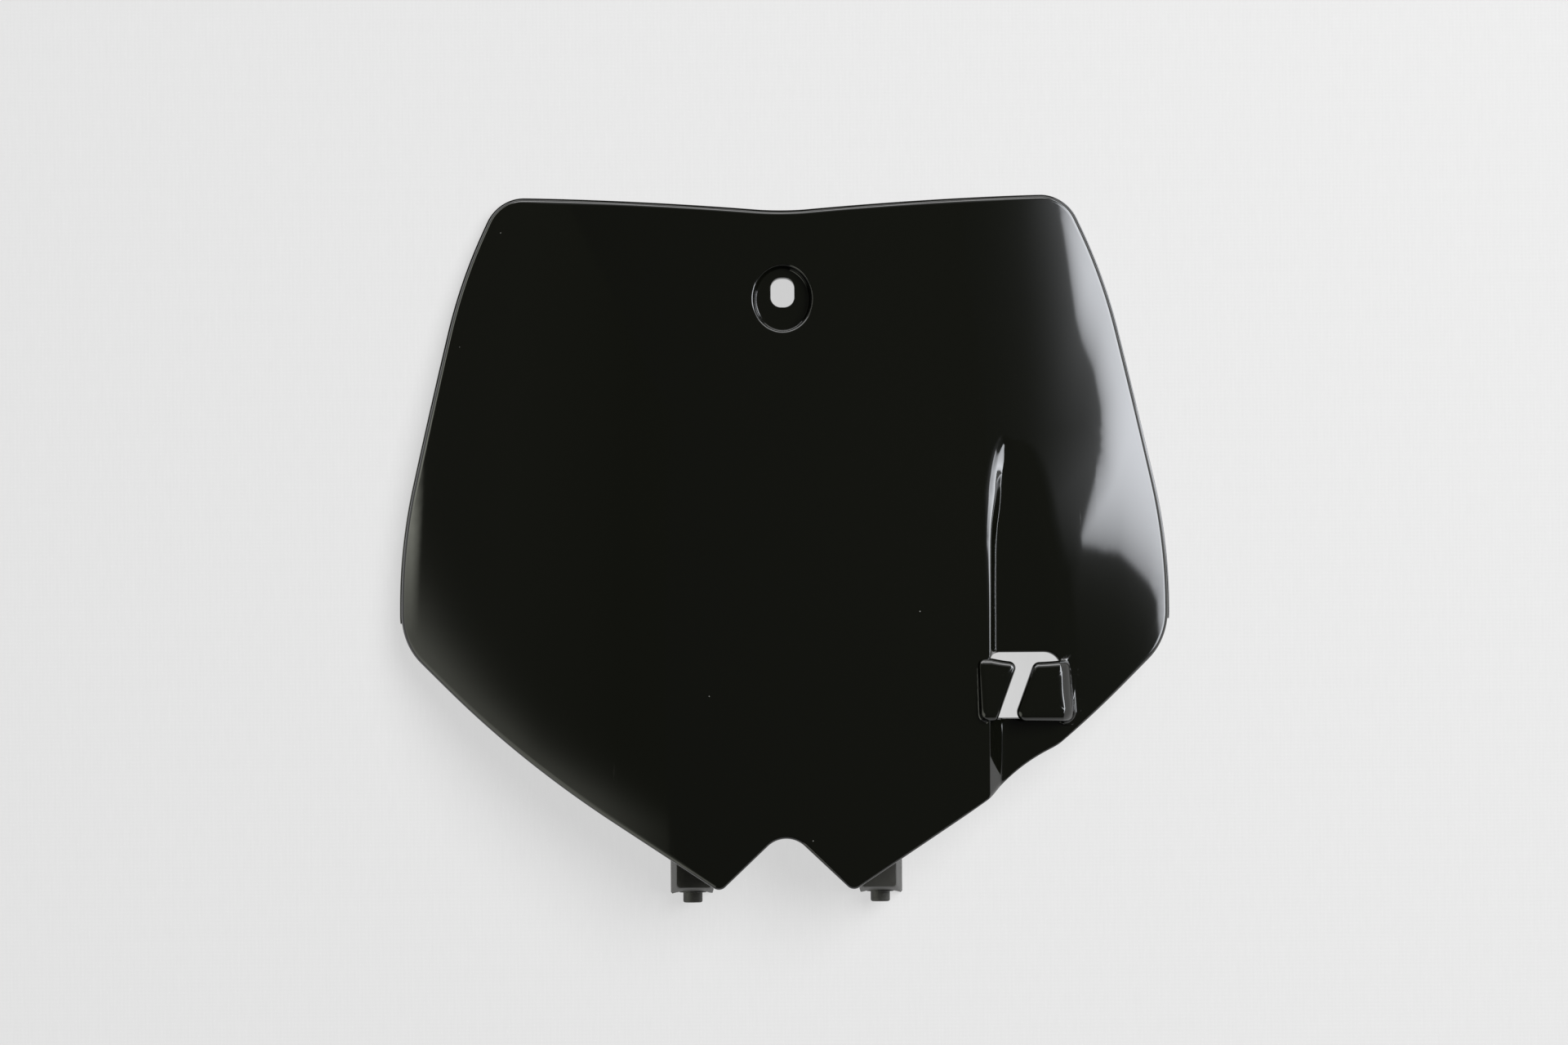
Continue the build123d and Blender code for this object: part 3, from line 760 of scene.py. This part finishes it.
# Peg: a round pin with a rounded end and a collar against the leg, given by radius and height
peg_profile = [
    (2.5, peg_end), (2.8, peg_end + 0.05), (3.05, peg_end + 0.2), (3.2, peg_end + 0.42), (3.25, peg_end + 0.7),
    (3.25, -120.15), (3.3, -120.0), (3.45, -119.9), (4.35, -119.9), (4.52, -119.82), (4.6, -119.65),
    (4.6, -118.2), (2.5, -118.2),
]
turns = np.linspace(0, 2 * math.pi, 40, endpoint=False)
peg = [
    np.stack((lug_middle + r * np.cos(turns), np.full(len(turns), y), -peg_depth + r * np.sin(turns)), 1)
    for r, y in peg_profile
]
count = len(board.verts)
for side in (1, -1):
    for rows in (leg, peg):
        close_up([row * np.array((side, 1, 1)) for row in rows])
board.verts.ensure_lookup_table()
matte = board.verts.layers.float.new("matte")
for vertex in board.verts[count:]:
    vertex[matte] = 1.0

# The moulding is laid on its back as it rests on the bench, its lower end held up by the lugs
bmesh.ops.recalc_face_normals(board, faces=board.faces)
bmesh.ops.delete(board, geom=[v for v in board.verts if not v.link_faces], context="VERTS")
board.transform(Matrix.Translation(Vector(slid) / 1000) @ Matrix.Rotation(-lean, 4, "X"))
moulding = bpy.data.meshes.new("number_board_moulding")
board.to_mesh(moulding)
board.free()
for name in ("sink", "depth"):
    moulding.attributes.remove(moulding.attributes[name])
moulding.materials.clear()
moulding.materials.append(plastic)
moulding.shade_smooth()
moulding.set_sharp_from_angle(angle=math.radians(38))
plate = bpy.data.objects.new("number_board_moulding", moulding)
bpy.context.collection.objects.link(plate)
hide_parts("number_board")
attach(plate, "root")


# Table
# A white cotton cloth lies on the table. Its fine plain weave shows as faint upright threads, and it keeps the
# plate's soft shadow.

cotton = bpy.data.materials.new("white_cotton_plain_weave")
cotton.use_nodes = True
tree = cotton.node_tree
shader = tree.nodes["Principled BSDF"]
place = add(tree, "ShaderNodeTexCoord").outputs["Object"]

# The real threads lie about half a millimetre apart. They are drawn 1.2 mm apart, as coarse as they need to be to show.
warp = add(
    tree, "ShaderNodeTexWave", ("Vector", place), ("Scale", 260.0), ("Distortion", 1.5), ("Detail", 2.0),
    ("Detail Scale", 3.0), bands_direction="X",
)
weft = add(
    tree, "ShaderNodeTexWave", ("Vector", place), ("Scale", 240.0), ("Distortion", 1.0), ("Detail", 2.0),
    bands_direction="Y",
)
threads = add(
    tree, "ShaderNodeMath", (0, warp.outputs["Fac"]), (1, 0.7), (2, weft.outputs["Fac"]), operation="MULTIPLY_ADD",
)

# Slubs, thicker stretches of the upright threads about 1 mm wide and 8 mm long, make faint streaks
upright = add(tree, "ShaderNodeMapping", ("Vector", place), ("Scale", (1000.0, 120.0, 1.0)))
slubs = add(tree, "ShaderNodeTexNoise", ("Vector", upright.outputs[0]), ("Scale", 1.0), ("Detail", 2.0))
relief = add(tree, "ShaderNodeBump", ("Height", threads.outputs[0]), ("Strength", 0.35), ("Distance", 0.00008))
tone = add(
    tree, "ShaderNodeMix", (0, slubs.outputs["Fac"]), ("A", linear("#e7e7e7")), ("B", linear("#ebebeb")),
    data_type="RGBA",
)
tree.links.new(tone.outputs["Result"], shader.inputs["Base Color"])
tree.links.new(relief.outputs[0], shader.inputs["Normal"])
shader.inputs["Roughness"].default_value = 0.9
shader.inputs["Specular IOR Level"].default_value = 0.2

# Seen straight or in a mirror most of its white is its own, so that holes in the plate look bright and shadows faint
ray = add(tree, "ShaderNodeLightPath").outputs
mirrored = add(tree, "ShaderNodeMath", (0, ray["Is Glossy Ray"]), (1, ray["Is Transmission Ray"]), operation="MAXIMUM")
seen = add(tree, "ShaderNodeMath", (0, ray["Is Camera Ray"]), (1, mirrored.outputs[0]), operation="MAXIMUM")
share = add(tree, "ShaderNodeMath", (0, seen.outputs[0]), (1, 0.75), operation="MULTIPLY")
own = add(tree, "ShaderNodeEmission", ("Color", tone.outputs["Result"]), ("Strength", 1.0))
whole = add(tree, "ShaderNodeMixShader", (0, share.outputs[0]), (1, shader.outputs[0]), (2, own.outputs[0]))
tree.links.new(whole.outputs[0], tree.nodes["Material Output"].inputs["Surface"])
sheet = bpy.data.meshes.new("table")
sheet.from_pydata([(-3, -3, 0), (3, -3, 0), (3, 3, 0), (-3, 3, 0)], [], [(0, 1, 2, 3)])
sheet.materials.append(cotton)
table = bpy.data.objects.new("table", sheet)
bpy.context.collection.objects.link(table)


# Light
# A large softbox stands low on the right, so that its picture lies on the right flank, with a halo on the wall behind
# it. A pale wall on the left and low strips above and below give the edges their grey sheen. One broad lamp lights
# the cloth.

def glow(name, place, color, area, step, power):
    """An upright panel that only mirrors see. Its power is given over its plane, in metres along it and up."""
    along, up = np.meshgrid(np.arange(area[0], area[1], step), np.arange(area[2], area[3], step), indexing="ij")
    rows, columns = along.shape
    along, up = along.ravel(), up.ravel()
    corners = [i * columns + j for i in range(rows - 1) for j in range(columns - 1)]
    cells = [(c, c + columns, c + columns + 1, c + 1) for c in corners]
    mesh = bpy.data.meshes.new(name)
    mesh.from_pydata([place(float(a), float(u)) for a, u in zip(along, up)], [], cells)
    mesh.attributes.new("power", "FLOAT", "POINT").data.foreach_set("value", power(along, up))
    material = bpy.data.materials.new(name)
    material.use_nodes = True
    material.cycles.emission_sampling = "NONE"
    tree = material.node_tree
    tree.nodes.clear()
    strength = add(tree, "ShaderNodeAttribute", attribute_name="power").outputs["Fac"]
    light = add(tree, "ShaderNodeEmission", ("Color", linear(color)), ("Strength", strength))
    add(tree, "ShaderNodeOutputMaterial", ("Surface", light.outputs[0]))
    mesh.materials.append(material)
    panel = bpy.data.objects.new(name, mesh)
    bpy.context.collection.objects.link(panel)
    panel.visible_camera = False
    panel.visible_diffuse = False
    panel.visible_shadow = False


room_glow = 0.07
softbox = np.array([
    (0.98, -0.03), (0.98, 0.14), (0.65, 0.15), (0.65, 0.43), (0.559, 0.423), (0.461, 0.42), (0.40, 0.415),
    (0.36, 0.395), (0.306, 0.35), (0.248, 0.331), (0.202, 0.347), (0.169, 0.398), (0.14, 0.45), (0.12, 0.482),
    (0.108, 0.48), (0.074, 0.289), (0.029, 0.158), (0.01, 0.125), (-0.09, 0.115), (-0.11, -0.03),
])


def softbox_power(along, up):
    """Bright in the middle of its cloth and dimmer at its edge, with a halo that is wider at its upper end."""
    grid = np.stack((along, up), 1)
    gap = np.full(len(grid), 1e3)
    for a, b in zip(softbox, np.roll(softbox, -1, 0)):
        t = np.clip(((grid - a) @ (b - a)) / ((b - a) @ (b - a)), 0, 1)
        gap = np.minimum(gap, np.hypot(*(grid - a - t[:, None] * (b - a)).T))
    deep = np.where(inside(grid, softbox), gap, -gap)
    upper = np.clip((along - 0.09) / 0.11, 0, 1)
    beside = np.minimum(deep, 0)
    upper_halo = room_glow + 1.35 * np.exp(beside / 0.14)
    lower_halo = room_glow + 0.42 * np.exp(beside / 0.04)
    halo = upper * upper_halo + (1 - upper) * lower_halo
    cloth = 4.5 + 11.5 * (1 - np.exp(-np.maximum(deep, 0) / 0.06))
    return halo + (cloth - halo) * np.clip(deep / 0.008 + 0.5, 0, 1)


def wall_power(along, up):
    """Brighter towards the bottom of the plate, with a bright strip low down that only edges and brows mirror."""
    reach = -along - (up - 0.13) / 3.7
    lower_left = 1.75 / (1 + np.exp(-(reach - 0.01) / 0.025)) * np.exp(-np.maximum(up - 0.9, 0) / 0.5)
    sheen = room_glow + 0.04 * np.clip((1.5 - up) / 0.9, 0, 1) + lower_left
    return sheen + 3.0 * np.clip((0.16 - up) / 0.04, 0, 1) * np.clip((along + 0.02) / 0.1, 0, 1)


def strip_power(along, up):
    """Bright low down, and fading upwards."""
    return room_glow + 5.0 * np.clip((0.36 - up) / 0.06, 0, 1) + 1.6 * np.clip((1.0 - up) / 0.6, 0, 1)


def lower_strip_power(along, up):
    return 0.13 * strip_power(along, up)


glow("softbox", lambda a, u: (0.7, a, u), "#f6f9ff", (-0.3, 1.0, -0.02, 1.1), 0.006, softbox_power)
glow("pale_wall", lambda a, u: (-0.7, a, u), "#fdfff0", (-1.4, 0.9, -0.02, 2.2), 0.02, wall_power)
glow("upper_strip", lambda a, u: (a, 1.1, u), "#ffffff", (-1.0, 1.0, -0.02, 1.06), 0.03, strip_power)
glow("lower_strip", lambda a, u: (a, -1.1, u), "#ffffff", (-1.0, 1.0, -0.02, 0.4), 0.03, lower_strip_power)

lamp = bpy.data.lights.new("overhead", "AREA")
lamp.shape = "DISK"
lamp.size = 1.1
lamp.energy = 31.5
overhead = bpy.data.objects.new("overhead", lamp)
overhead.location = (0.7, 0.5, 1.4)
overhead.rotation_euler = (-overhead.location).to_track_quat("-Z", "Y").to_euler()
overhead.visible_glossy = False
bpy.context.collection.objects.link(overhead)
world = bpy.data.worlds.new("room")
world.use_nodes = True
world.node_tree.nodes["Background"].inputs["Color"].default_value = linear("#ffffff")
world.node_tree.nodes["Background"].inputs["Strength"].default_value = room_glow
bpy.context.scene.world = world
bpy.context.scene.view_settings.view_transform = "Standard"


# Camera
# It hangs straight above the plate and is turned a fraction of a degree, as in the photograph.

lens = bpy.data.cameras.new("camera")
lens.sensor_width = 36.0
lens.lens = 67.86
camera = bpy.data.objects.new("camera", lens)
camera.location = (0.0, slid[1] / 1000, (slid[2] + 960) / 1000)
camera.rotation_euler = (0.0, 0.0, -math.radians(0.4))
bpy.context.collection.objects.link(camera)
bpy.context.scene.camera = camera
